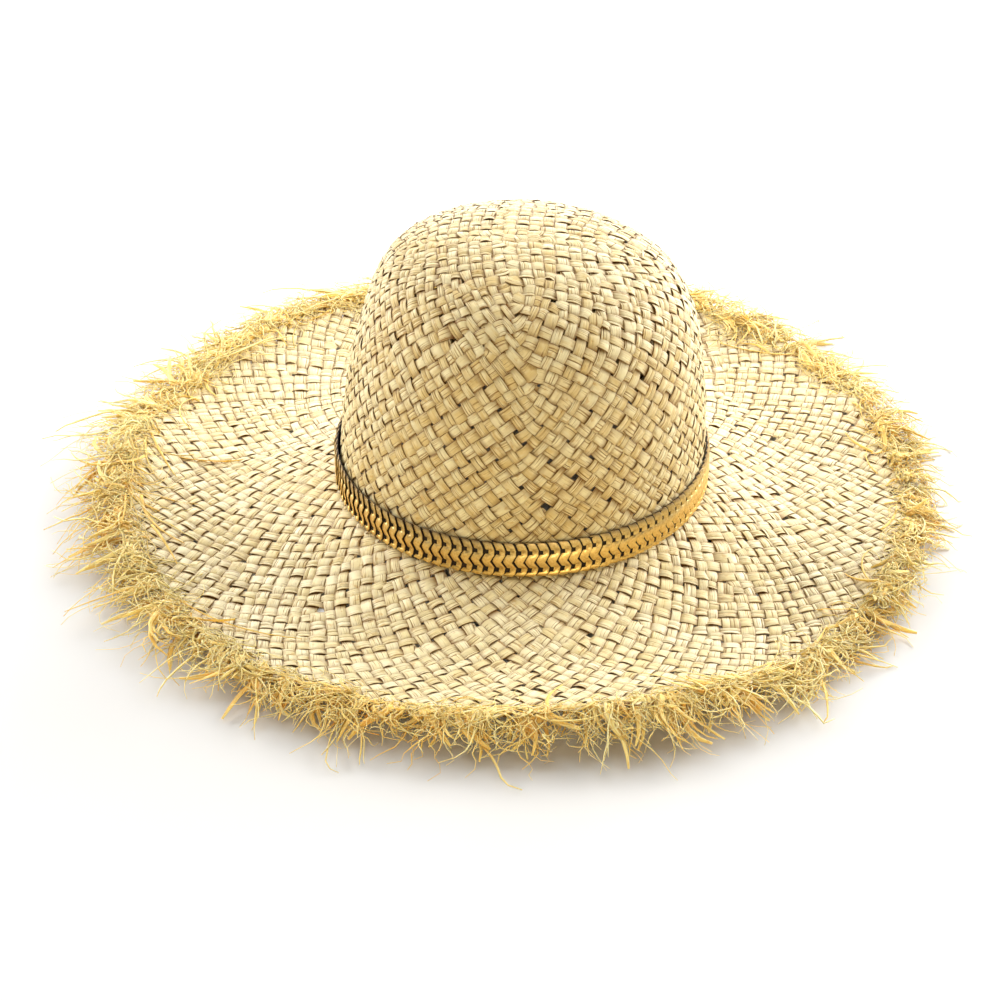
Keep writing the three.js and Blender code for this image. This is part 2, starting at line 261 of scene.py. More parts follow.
# Turn from the second azimuth to the first, at most half a turn either way
def turn_between(first, second):
    return (first - second + math.pi) % TURN - math.pi


# Gaps of a ring that take an added strip, spread out and clear of the mat's corners
def growth_gaps(angles, wanted, ring, recent):
    gap = np.diff(np.append(angles, angles[0] + TURN))
    middle = angles + gap / 2
    score = gap / gap.mean() + CHANCE * rng.random(len(gap))
    if ring < MAT_RINGS + CORNER_RINGS:
        corner = np.abs((middle + TURN / 8) % (TURN / 4) - TURN / 8)
        score = score - CORNER_PENALTY * (corner < CORNER_ANGLE)
    for old in recent:
        near = turn_between(middle, old) / RECENT_ANGLE
        score = score - RECENT_PENALTY * np.exp(-near ** 2)
    chosen = []
    for g in np.argsort(-score):
        far = all(abs(turn_between(middle[g], middle[c])) > APART_ANGLE for c in chosen)
        if len(chosen) < wanted and far:
            chosen.append(g)
    return set(chosen), middle


# Crossings and the links between them. A strip that is added starts as a fold between
# two crossings of one ring, and both its halves run outward from there.
class Weave:
    def __init__(self):
        self.start = [0]
        self.angles = []
        self.low_parent, self.high_parent = [], []
        self.cw_child, self.ccw_child = [], []
        self.folds = []
        self.mat()
        self.grow()
        self.relax()
        self.uneven()
        self.place()

    def add_ring(self, angles):
        self.angles.append(np.array(angles, float))
        self.start.append(self.start[-1] + len(angles))
        for links in (self.low_parent, self.high_parent, self.cw_child, self.ccw_child):
            links.append(np.full(len(angles), -1))

    def mat(self):
        for m in range(1, MAT_RINGS + 1):
            angles = []
            for quarter in range(4):
                for u in range(m):
                    angles.append(quarter * TURN / 4 + math.atan2(0.5 + u, m - 0.5 - u))
            self.add_ring(angles)
            k = m - 1
            for quarter in range(4):
                last = quarter * m + m - 1
                self.fold(k, last, ((quarter + 1) % 4) * m)
                for u in range(m - 1):
                    parent = quarter * (m - 1) + u
                    self.link(k - 1, parent, quarter * m + u + 1, True)
                    self.link(k - 1, parent, quarter * m + u, False)

    def fold(self, k, low, high):
        self.folds.append((k, low, high))
        self.high_parent[k][low] = self.start[k] + high
        self.low_parent[k][high] = self.start[k] + low

    def link(self, k, parent, child, ccw):
        if ccw:
            self.ccw_child[k][parent] = self.start[k + 1] + child
            self.low_parent[k + 1][child] = self.start[k] + parent
        else:
            self.cw_child[k][parent] = self.start[k + 1] + child
            self.high_parent[k + 1][child] = self.start[k] + parent

    def grow(self):
        recent = [[], [], []]
        for ring in range(MAT_RINGS, ALL_RINGS):
            k = ring - 1
            angles = self.angles[k]
            count = len(angles)
            wanted = max(0, min(ring_count(ring + 1) - count, MOST_ADDED))
            chosen, middle = growth_gaps(angles, wanted, ring, sum(recent, []))
            recent = recent[1:] + [[middle[g] for g in chosen]]
            gap = np.diff(np.append(angles, angles[0] + TURN))
            new_angles, links, folds = [], [], []
            for g in range(count):
                child = len(new_angles)
                if g in chosen:
                    aside = gap[g] / FOLD_PARTS
                    new_angles += [middle[g] - aside, middle[g] + aside]
                    folds.append((child, child + 1))
                    links += [(g, child, True), ((g + 1) % count, child + 1, False)]
                else:
                    new_angles.append(middle[g])
                    links += [(g, child, True), ((g + 1) % count, child, False)]
            self.add_ring(new_angles)
            for parent, child, ccw in links:
                self.link(k, parent, child, ccw)
            for low, high in folds:
                self.fold(k + 1, low, high)

    # Azimuths settle between those of their neighbours, so the strips run evenly
    def relax(self):
        flat = np.concatenate(self.angles)
        low, high = np.concatenate(self.low_parent), np.concatenate(self.high_parent)
        cw, ccw = np.concatenate(self.cw_child), np.concatenate(self.ccw_child)
        ring_low, ring_high = np.empty(len(flat), int), np.empty(len(flat), int)
        for k, angles in enumerate(self.angles):
            ids = self.start[k] + np.arange(len(angles))
            ring_low[ids], ring_high[ids] = np.roll(ids, 1), np.roll(ids, -1)
        fixed = self.start[MAT_RINGS]
        for _ in range(SETTLE_ROUNDS):
            pull = np.zeros(len(flat))
            weight = np.zeros(len(flat))
            for other, w in ((low, 1.0), (high, 1.0), (cw, 1.0), (ccw, 1.0),
                             (ring_low, RING_PULL), (ring_high, RING_PULL)):
                has = other >= 0
                pull += np.where(has, w * turn_between(flat[other], flat), 0)
                weight += np.where(has, w, 0)
            step = SETTLE_STEP * pull / weight
            step[:fixed] = 0
            flat = flat + step
        self.flat = flat
        self.low, self.high, self.cw, self.ccw = low, high, cw, ccw

    # Widths of the strips in their order round the hat, and the sideways shifts they ask for
    def uneven(self):
        self.ring = np.concatenate([np.full(len(a), k + 1) for k, a in enumerate(self.angles)])
        self.shift, self.factor = {}, {}
        for way in ("cw", "ccw"):
            runs = [nodes for side, nodes in self.halves() if side == way]
            order = np.argsort([self.flat[nodes[-1]] % TURN for nodes in runs])
            factor = np.clip(rng.normal(1, WIDTH_SPREAD, len(runs)), *WIDTH_FACTORS)
            factor /= factor.mean()
            walk = np.cumsum(factor - 1) * STRIP_PITCH
            near = np.mean([np.roll(walk, s) for s in range(-NEAR_STRIPS, NEAR_STRIPS + 1)], axis=0)
            self.shift[way] = np.zeros(len(self.flat))
            self.factor[way] = np.ones(len(self.flat))
            for i, place in enumerate(order):
                nodes = runs[place][1:]
                start = np.minimum(np.arange(len(nodes)) / EASE_CROSSINGS, 1)
                self.shift[way][nodes] = (walk - near)[i] * start
                self.factor[way][nodes] = 1 + WIDTH_SHARE * (factor[i] - 1) * start

    # Path length of each crossing's ring at its azimuth
    def paths(self):
        return np.concatenate([ring_path(k + 1, self.flat[self.start[k]:self.start[k + 1]])
                               for k in range(ALL_RINGS)])

    def place(self):
        path = self.paths()
        girth_radius = np.hypot(*hat_point(path, self.flat)[:, :2].T)
        mat = self.ring <= MAT_RINGS
        shrink = self.ring / MAT_RINGS
        path = np.where(mat, ring_path(MAT_RINGS, self.flat) * shrink, path)
        first, last = SHIFT_RINGS
        ramp = np.clip((self.ring - first) / (last - first), 0, 1) / math.sqrt(2)
        path = path + ramp * (self.shift["cw"] + self.shift["ccw"])
        sideways = ramp * (self.shift["cw"] - self.shift["ccw"])
        turn = self.flat + sideways / np.maximum(girth_radius, LEAST_RADIUS)
        slack = rng.normal(0, SLACK, (len(path), 2))
        self.chart = np.stack([path * np.cos(turn), path * np.sin(turn)], -1) + slack
        self.point = chart_to_hat(self.chart)[0]

    # Strip halves: control crossings from the fold outward
    def halves(self):
        for k, low, high in self.folds:
            a, b = self.start[k] + low, self.start[k] + high
            yield "cw", self.run(b, a, self.cw)
            yield "ccw", self.run(a, b, self.ccw)

    def run(self, partner, first, child):
        nodes = [partner, first]
        while child[nodes[-1]] >= 0:
            nodes.append(child[nodes[-1]])
        return np.array(nodes)

    # Distance from a strip to the next ones beside it, square to it, at each crossing
    def room(self, way):
        before, after = (self.low, self.ccw) if way == "cw" else (self.high, self.cw)
        own_before, own_after = (self.high, self.cw) if way == "cw" else (self.low, self.ccw)

        def step(first, second):
            start = np.where(first >= 0, first, np.arange(len(first)))
            end = np.where(second >= 0, second, np.arange(len(second)))
            count = (first >= 0).astype(float) + (second >= 0)
            return (self.point[end] - self.point[start]) / count[:, None]

        aside, along = step(before, after), step(own_before, own_after)
        along = along / np.linalg.norm(along, axis=1, keepdims=True)
        square = aside - (aside * along).sum(1)[:, None] * along
        return np.linalg.norm(square, axis=1)


# Samples from one crossing to the next
WEAVE_STEPS = 4


# Smooth curve through control rows, from half way between the first two
def through(rows):
    rows = np.asarray(rows, float)
    rows = np.concatenate([2 * rows[:1] - rows[1:2], rows, 2 * rows[-1:] - rows[-2:-1]])
    t = np.arange(WEAVE_STEPS // 2, (len(rows) - 3) * WEAVE_STEPS + 1) / WEAVE_STEPS
    i = np.minimum(t.astype(int), len(rows) - 4)
    f = (t - i).reshape([-1] + [1] * (rows.ndim - 1))
    a, b, c, d = rows[i], rows[i + 1], rows[i + 2], rows[i + 3]
    return t, 0.5 * (2 * b + (c - a) * f + (2 * a - 5 * b + 4 * c - d) * f ** 2
                     + (3 * b - a - 3 * c + d) * f ** 3)


# Joined mesh with a "strip" attribute (length along, across, tone) and an "edge" attribute, which
# holds the darkness of painted shade
class MeshBuilder:
    def __init__(self):
        self.vertices, self.polygons, self.strip, self.edge = [], [], [], []
        self.count = 0

    def add(self, vertices, polygons, strip, edge):
        self.vertices.append(vertices)
        self.polygons += [faces + self.count for faces in polygons]
        self.strip.append(strip)
        self.edge.append(edge)
        self.count += len(vertices)

    def build(self, name, material, slot, node, sharp_angle=None):
        vertices = (np.concatenate(self.vertices) + AXIS) * MM
        loops = np.concatenate([faces.ravel() for faces in self.polygons])
        sizes = np.concatenate([np.full(len(faces), faces.shape[1]) for faces in self.polygons])
        mesh = bpy.data.meshes.new(name)
        mesh.vertices.add(len(vertices))
        mesh.vertices.foreach_set("co", vertices.astype(np.float32).ravel())
        mesh.loops.add(len(loops))
        mesh.loops.foreach_set("vertex_index", loops.astype(np.int32))
        mesh.polygons.add(len(sizes))
        mesh.polygons.foreach_set("loop_start", (np.cumsum(sizes) - sizes).astype(np.int32))
        mesh.update(calc_edges=True)
        mesh.shade_smooth()
        if sharp_angle:
            mesh.set_sharp_from_angle(angle=sharp_angle)
        strip = mesh.attributes.new("strip", "FLOAT_VECTOR", "POINT")
        strip.data.foreach_set("vector", np.concatenate(self.strip).astype(np.float32).ravel())
        edge = mesh.attributes.new("edge", "FLOAT", "POINT")
        edge.data.foreach_set("value", np.concatenate(self.edge).astype(np.float32))
        mesh.materials.append(material)
        piece = bpy.data.objects.new(name, mesh)
        bpy.context.collection.objects.link(piece)
        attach(piece, "root")
        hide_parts(node)


CREASE_HALF = 0.09


# Cross-section of a straw strip: across from -1 to 1, up in thicknesses, darkness of painted shade
# at its edges and in its crease.
# The last row is the middle of the underside, which gets its painted shade along the strip.
def straw_section(crease, depth):
    return np.array([
        (-1, 0, 1),
        (-0.86, 0.45, 0.2),
        (crease - CREASE_HALF, 0.5, 0),
        (crease, 0.5 - depth, min(1, 1.2 * depth)),
        (crease + CREASE_HALF, 0.5, 0),
        (0.86, 0.45, 0.2),
        (1, 0, 1),
        (0, -0.5, 0),
    ])


# Cross-sections of the fringe's strands, with the same columns; the darkness paints shade on the
# strands' sides and in the blades' crease
BLADE_SECTION = np.array([
    (-1, 0, 0.4),
    (-0.3, 0.5, 0),
    (0.1, 0.1, 0.3),
    (0.6, 0.5, 0),
    (1, 0, 0.4),
    (0, -0.5, 0),
])
FIBRE_SECTION = np.array([
    (-1, -0.4, 0.1),
    (0, 0.6, 0),
    (1, -0.4, 0.1),
])


# Closed ribbons along rows of points, each with the same cross-section
def ribbons(points, normals, widths, thickness, camber, section):
    ahead = np.gradient(points, axis=1)
    aside = np.cross(normals, ahead)
    aside /= np.maximum(np.linalg.norm(aside, axis=-1, keepdims=True), 1e-9)
    across, up, dark = section.T
    lift = up * thickness - camber * across ** 2
    half = (widths / 2)[..., None, None] * across[:, None]
    vertices = points[:, :, None] + aside[:, :, None] * half + normals[:, :, None] * lift[:, None]
    ribbon_count, stations, sides = vertices.shape[:3]
    first = np.arange(ribbon_count)[:, None, None] * stations * sides
    row = first + np.arange(stations - 1)[None, :, None] * sides
    j = np.arange(sides)
    k = (j + 1) % sides
    quads = np.stack([row + sides + j, row + sides + k, row + k, row + j], -1).reshape(-1, 4)
    start_cap = first[:, 0] + j
    end_cap = first[:, 0] + (stations - 1) * sides + j[::-1]
    across = np.broadcast_to(across, (ribbon_count, stations, sides))
    dark = np.broadcast_to(dark, (ribbon_count, stations, sides))
    return vertices.reshape(-1, 3), [quads, start_cap, end_cap], across, dark.ravel()


# Strip attribute from lengths along each ribbon and one tone for each
def strip_rows(along, across, tone):
    shape = across.shape
    return np.stack([np.broadcast_to(along[..., None], shape), across,
                     np.broadcast_to(np.reshape(tone, (-1, 1, 1)), shape)], -1).reshape(-1, 3)


# Strips in mm: thickness, rise over a crossing, camber, lowest point and depth of the folds
STRIP_THICKNESS = 0.3
WEAVE_HEIGHT = 0.55
STRIP_CAMBER = 0.16
STRAW_LOW_Z = 0.15
FOLD_DEPTH = 2.8
STRIP_WIDTHS = (2.2, 8.5)

# Share of its room that a strip fills, its spread, and the widening next to a fold
FILLED = 0.93
FILLED_SPREAD = 0.05
FOLD_WIDENING = np.array([1.3, 1.3, 1.2, 1.1])

# Sharpness of the rise and fall, and spreads of height in mm and of tilt
WAVE_POWER = 0.7
HEIGHT_SPREAD = 0.06
TILT_SPREAD = 0.07

# Creases along a strip: how far aside, how many are deep, and the depth of the others
CREASE_ASIDE = 0.6
DEEP_CREASES = 0.35
SHALLOW_CREASE = 0.3

# Shift in mm along the fibres that sets strips of different tones apart
TONE_SHIFT = 1000

# Height, in rises over a crossing, at which painted shade starts on a strip as it goes under
# another
SHADED_HEIGHT = 0.4

# Darkness of the painted shade in the middle of a strip's underside, far below zero so that the
# painted shade at its edges stays narrow
BELOW_DARKNESS = -2


# Woven crown and brim, each in its clockwise and counter-clockwise strips
def weave_pieces(weave, straw):
    builders = {(part, way): MeshBuilder() for part in ("crown", "brim") for way in ("cw", "ccw")}
    ends = []
    room = {way: weave.room(way) for way in ("cw", "ccw")}
    for way, nodes in weave.halves():
        rings = weave.ring[nodes]
        rows = weave.chart[nodes].copy()
        rows[0] -= 2 * FOLD_DEPTH * rows[1] / np.linalg.norm(rows[1])
        t, chart = through(rows)
        point, normal = chart_to_hat(chart)
        filled = FILLED + FILLED_SPREAD * rng.standard_normal()
        wide = np.clip(room[way][nodes] * filled, *STRIP_WIDTHS) * weave.factor[way][nodes]
        wide = wide * (1 + FILLED_SPREAD * rng.standard_normal(len(nodes)))
        wide[:4] = wide[:4] * FOLD_WIDENING[:len(wide)]
        wide[0] = wide[1]
        widths = through(wide)[1]
        over_first = 1 if (way == "cw") == (rings[1] % 2 == 0) else -1
        wave = np.cos(math.pi * (t - 1)) * over_first
        height = WEAVE_HEIGHT * np.sign(wave) * np.abs(wave) ** WAVE_POWER
        height = height + HEIGHT_SPREAD * through(rng.standard_normal(len(nodes)))[1]
        point = point + normal * height[:, None]
        # Painted shade where the strip goes under another, and on its underside where it lies under
        # others
        under = np.clip(SHADED_HEIGHT - height / WEAVE_HEIGHT, 0, 1)
        buried = np.clip(SHADED_HEIGHT + height / WEAVE_HEIGHT, 0, 1)
        tilt = TILT_SPREAD * through(rng.standard_normal(len(nodes)))[1]
        ahead = np.gradient(point, axis=0)
        aside = np.cross(normal, ahead)
        aside /= np.linalg.norm(aside, axis=1, keepdims=True)
        tilted = normal + aside * tilt[:, None]
        tone = rng.random()
        steps = np.linalg.norm(np.diff(point, axis=0), axis=1)
        along = np.cumsum(np.append(0, steps)) + TONE_SHIFT * tone
        crease = rng.uniform(-CREASE_ASIDE, CREASE_ASIDE)
        depth = 1.0 if rng.random() < DEEP_CREASES else rng.uniform(0, SHALLOW_CREASE)
        section = straw_section(crease, depth)
        parts = [("brim", slice(0, len(t)))]
        if rings[0] < CROWN_RINGS:
            cut = np.searchsorted(t, np.argmax(rings >= CROWN_RINGS))
            parts = [("crown", slice(0, cut + 1)), ("brim", slice(cut, len(t)))]
        for part, span in parts:
            if len(point[span]) > 1:
                vertices, polygons, across, dark = ribbons(
                    point[None, span], tilted[None, span], widths[None, span],
                    STRIP_THICKNESS, STRIP_CAMBER, section)
                vertices[:, 2] = np.maximum(vertices[:, 2], STRAW_LOW_Z)
                # Painted shade: at the edges and crease, where the strip goes under another, and
                # along the middle of its underside
                dark = np.maximum(dark, np.repeat(under[span], len(section)))
                below = BELOW_DARKNESS + (1 - BELOW_DARKNESS) * buried[span]
                dark[len(section) - 1::len(section)] = below
                strip = strip_rows(along[None, span], across, tone)
                builders[part, way].add(vertices, polygons, strip, dark)
        back = max(-WEAVE_STEPS, -len(point))
        ends.append((point[-1], point[-1] - point[back]))
    for (part, way), builder in builders.items():
        builder.build(f"{part}_strips_{way}", straw[part], f"straw_{part}", part)
    return ends


# Fringe strands for each strip end: how many, widths in mm, lengths as shares of the fringe's
# reach, spread and bend of directions in degrees, curl and arch in mm, curls a strand for one of
# the tuft, first and last start beyond the woven edge in mm, darkest and palest tone
FRINGE_GROUPS = {
    "mats": dict(per_end=3, width=(1.8, 3.6), share=(0.25, 0.65), spread=25, bend=25, curl=1.4,
                 arch=0.6, wiggle=0.8, start=(-4, 2), tone=(0, 0.9), stations=6,
                 piece="fringe_ends", section=BLADE_SECTION),
    "splits": dict(per_end=5, width=(0.7, 1.5), share=(0.25, 0.95), spread=22, bend=50, curl=2.6,
                   arch=1.8, wiggle=1.6, start=(-7, 5), tone=(0, 1), stations=8,
                   piece="fringe_ends", section=FIBRE_SECTION),
    "strays": dict(per_end=0.25, width=(0.8, 1.8), share=(0.5, 1.05), spread=80, bend=30, curl=1.5,
                   arch=2.5, wiggle=0.6, start=(-14, 0), tone=(0, 0.5), stations=10,
                   piece="fringe_ends", section=BLADE_SECTION),
    "fibres": dict(per_end=7, width=(0.42, 0.8), share=(0.2, 0.75), spread=45, bend=130, curl=3.4,
                   arch=2.6, wiggle=1.5, start=(-8, 9), tone=(0.2, 1), stations=9,
                   piece="fringe_fibres", section=FIBRE_SECTION),
    "fluff": dict(per_end=7, width=(0.45, 0.8), share=(0.12, 0.4), spread=110, bend=240, curl=1.8,
                  arch=3.2, wiggle=1.2, start=(-7, 15), tone=(0.2, 1), stations=7,
                  piece="fringe_fibres", section=FIBRE_SECTION),
}
BLADE_THICKNESS = 0.4
FIBRE_THICKNESS = 0.24

# Lengths of the strands against the reach, and how far in mm they may pass it
STRAND_LENGTH = 1.3
FARTHEST_STRAND = 9
FLOOR_GAP = 0.4

# Gathering into tufts: spread in mm at the ends of a strand, and the share lost in its middle
GATHER_SPREAD = 2.6
GATHER_SHARE = 0.75

# Strands start above the fringe's bed or below it, in mm, and more often above
UPPER_SHARE = 0.75
BED_DISTANCE = (0.7, 1.6)
ABOVE_WEAVE = 0.8
LIFT_SPREAD = 1.2

# Roll of a strand at its start and its growth, in radians, and its narrowing towards the tip
ROLL_SPREAD = 0.35
ROLL_GROWTH = 1.1
TIP_NARROWING = 0.65
TIP_POWER = 2.4

# Share of a strand's tone that its tuft gives
TUFT_TONE = 0.65

# Shade deep in the fringe: at the bed's height, change over this depth in mm, and the most
BED_SHADE = 0.6
SHADE_DEPTH = 3
MOST_SHADE = 0.95


# Height of the fringe's bed: on the brim inside the woven edge, then falling to the tips
def fringe_bed(distance, angle):
    edge = brim_column("edge", angle)
    inner = oval_radius(CROWN_SECTIONS[0][1] - STRAW_WALL, angle)
    on_brim = brim_point(1 + np.minimum(distance, 0) / (edge - inner), angle)[..., 2]
    gap = brim_column("reach", angle) - edge
    fall = (brim_column("tip_z", angle) - brim_column("edge_z", angle)) / gap
    return edge + distance, on_brim + np.maximum(distance, 0) * fall


# One tuft for each strip end, whose strands keep more or less together: heading and bend,
# length as a share, turns and phase of the curls, lift of the tips in mm, and tone
def fringe_tufts(ends):
    count = len(ends)
    point, direction = (np.array(column) for column in zip(*ends))
    angle = np.arctan2(point[:, 1], point[:, 0])
    radial = direction[:, 0] * np.cos(angle) + direction[:, 1] * np.sin(angle)
    sideways = direction[:, 1] * np.cos(angle) - direction[:, 0] * np.sin(angle)
    return {
        "angle": angle,
        "heading": 0.85 * np.arctan2(sideways, radial) + np.radians(rng.normal(0, 20, count)),
        "bend": np.radians(rng.normal(0, 45, count)),
        "length": np.clip(rng.normal(1, 0.25, count), 0.5, 1.45),
        "turns": rng.uniform(0.3, 1.1, (2, count)),
        "phase": rng.random((2, count)),
        "lift": rng.normal(-0.5, 1.8, count),
        "tone": rng.random(count),
    }


# Paths, normals, widths, tones and shade of one group of strands
def strands(tufts, group):
    count = round(len(tufts["angle"]) * group["per_end"])
    host = rng.integers(0, len(tufts["angle"]), count)
    t = np.linspace(0, 1, group["stations"])
    angle = tufts["angle"][host]
    heading = tufts["heading"][host] + np.radians(rng.normal(0, group["spread"], count))
    bend = tufts["bend"][host] + np.radians(rng.normal(0, group["bend"], count))
    turn = heading[:, None] + bend[:, None] * t
    gap = brim_column("reach", angle) - brim_column("edge", angle)
    length = rng.uniform(*group["share"], count) * tufts["length"][host] * gap * STRAND_LENGTH
    step = length[:, None] / (len(t) - 1)
    start = rng.uniform(*group["start"], count)

    def wave(which, size):
        turns = group["wiggle"] * tufts["turns"][which, host] * rng.uniform(0.8, 1.3, count)
        phase = (tufts["phase"][which, host] + rng.normal(0, 0.1, count))[:, None]
        return size * (np.sin(TURN * (turns[:, None] * t + phase)) - np.sin(TURN * phase)) * t

    def walked(share):
        middle = (share[:, 1:] + share[:, :-1]) / 2 * step
        return np.concatenate([np.zeros((count, 1)), np.cumsum(middle, axis=1)], axis=1)

    distance = start[:, None] + walked(np.cos(turn)) + wave(0, 0.5 * group["curl"])
    distance = np.minimum(distance, gap[:, None] + FARTHEST_STRAND)
    loose = 1 - GATHER_SHARE * np.sin(math.pi * np.minimum(t, 0.6) / 1.2) ** 2
    gathered = rng.normal(0, GATHER_SPREAD, (count, 1)) * loose
    shift = gathered + walked(np.sin(turn)) + wave(1, group["curl"])
    at = angle[:, None] + shift / (brim_column("edge", angle)[:, None] + distance)
    radius, bed = fringe_bed(distance, at)
    side = np.where(rng.random((count, 1)) < UPPER_SHARE, 1, -1)
    rise = side * rng.uniform(*BED_DISTANCE, (count, 1)) * (1 - t)
    rise = rise + (tufts["lift"][host] + rng.normal(0, LIFT_SPREAD, count))[:, None] * t
    arch = group["arch"] * rng.random((count, 1)) * np.sin(math.pi * t)
    z = np.maximum(bed + rise + arch, FLOOR_GAP)
    z = np.where((distance < 0) & (side > 0), np.maximum(z, bed + ABOVE_WEAVE), z)
    path = np.stack([radius * np.cos(at), radius * np.sin(at), z], -1)
    ahead = np.gradient(path, axis=1)
    flat = np.stack([-ahead[..., 1], ahead[..., 0], 0 * ahead[..., 0]], -1)
    flat /= np.maximum(np.linalg.norm(flat, axis=-1, keepdims=True), 1e-9)
    up = np.cross(ahead, flat)
    up /= np.maximum(np.linalg.norm(up, axis=-1, keepdims=True), 1e-9)
    roll = rng.normal(0, ROLL_SPREAD, (count, 1)) + rng.normal(0, ROLL_GROWTH, (count, 1)) * t
    normal = up * np.cos(roll)[..., None] + flat * np.sin(roll)[..., None]
    width = rng.uniform(*group["width"], count)[:, None] * (1 - TIP_NARROWING * t ** TIP_POWER)
    darkest, palest = group["tone"]
    level = TUFT_TONE * tufts["tone"][host] + (1 - TUFT_TONE) * rng.random(count)
    tone = darkest + (palest - darkest) * level
    shade = np.clip(BED_SHADE - (z - bed) / SHADE_DEPTH, 0, MOST_SHADE) * (1 - t)
    return path, normal, width, tone, shade


def fringe_pieces(ends, material):
    builders = {"fringe_ends": MeshBuilder(), "fringe_fibres": MeshBuilder()}
    tufts = fringe_tufts(ends)
    for group in FRINGE_GROUPS.values():
        path, normal, width, tone, shade = strands(tufts, group)
        section = group["section"]
        thickness = BLADE_THICKNESS if section is BLADE_SECTION else FIBRE_THICKNESS
        vertices, polygons, across, dark = ribbons(path, normal, width, thickness, 0, section)
        lengths = np.linalg.norm(np.diff(path, axis=1), axis=-1)
        along = np.concatenate([np.zeros((len(path), 1)), np.cumsum(lengths, axis=1)], axis=1)
        along = along + TONE_SHIFT * rng.random((len(path), 1))
        vertices[:, 2] = np.maximum(vertices[:, 2], STRAW_LOW_Z)
        dark = np.maximum(dark, np.repeat(shade.ravel(), len(section)))
        builders[group["piece"]].add(vertices, polygons, strip_rows(along, across, tone), dark)
    for name, builder in builders.items():
        builder.build(name, material, "straw_fringe", "fringe")


# Chain band: zigzag plates with a sunk left edge and a raised right edge that laps the next
CHAIN_LINKS = 117
CHAIN_HEIGHT = 18.5
CHAIN_RADIUS = 92.5
PLATE_SWING = 2.3
PLATE_GAP = 0.8
NOTCH_WIDTH = 1.35
NOTCH_BITE = 0.2

# Unevenness of the plates: tilt and offset in mm, and shift along the band in mm
PLATE_TILT = 0.12
PLATE_OFFSET = 0.08
PLATE_SHIFT = 0.05

# Step in mm between the plates in the strip attribute, which tells them apart
LINK_SHIFT = 50

# Share of the height where painted shade starts on a plate, for the fold at its top and the gap
# under the crown, and the most of that painted shade
TOP_SHADE_FROM = 0.94
TOP_MOST_SHADE = 0.5

# Sharpest bend of the metal that still shades smoothly
METAL_CREASE = math.radians(50)

# Dark band behind the plates, for the chain's dark inner links, and near black so that it also
# paints the shade in the gaps between the plates and under the crown: share of the height and
# offset in mm of its four corners
BACKING_CORNERS = np.array([
    (0.06, -0.7),
    (0.98, -0.7),
    (0.98, 0.12),
    (0.06, 0.12),
])

# share of the height, share of the swing, notch in the left edge, inward fold in mm
PLATE_ROWS = np.array([
    (0, 0.05, 0, 0.5),
    (0.03, 0.15, 0, 0),
    (0.08, 0.45, 0, 0),
    (0.125, 0.7, 0, 0),
    (0.13, 0.75, 1, 0),
    (0.265, 0.95, 1, 0),
    (0.27, 0.9, 0, 0),
    (0.36, 0.4, 0, 0),
    (0.44, 0, 0.2, 0),
    (0.53, 0.35, 0, 0),
    (0.655, 0.9, 0, 0),
    (0.66, 0.92, 1, 0),
    (0.78, 0.95, 1, 0),
    (0.785, 0.9, 0, 0),
    (0.88, 0.65, 0, 0),
    (0.95, 0.4, 0, 0.15),
    (1, 0.1, 0, 0.6),
])

# across from the left edge to the right, height above the band's inside in mm, darkness of painted
# shade on the sides in the gaps and underneath
PLATE_SECTION = np.array([
    (0, 0.05, 0.8),
    (0, 0.35, 0.1),
    (0.08, 0.5, 0),
    (0.45, 0.76, 0),
    (0.88, 1.08, 0),
    (0.97, 1.1, 0.1),
    (1, 1.0, 0.4),
    (1, 0.65, 1),
    (0.5, 0.35, 1),
])


# Point on the oval round the crown's foot by azimuth, height above the band's foot and offset
def band_point(angle, height, offset):
    radius = oval_radius(CHAIN_RADIUS, angle) + offset
    return np.stack([radius * np.cos(angle), radius * np.sin(angle),
                     band_low[2] / MM + height], -1)


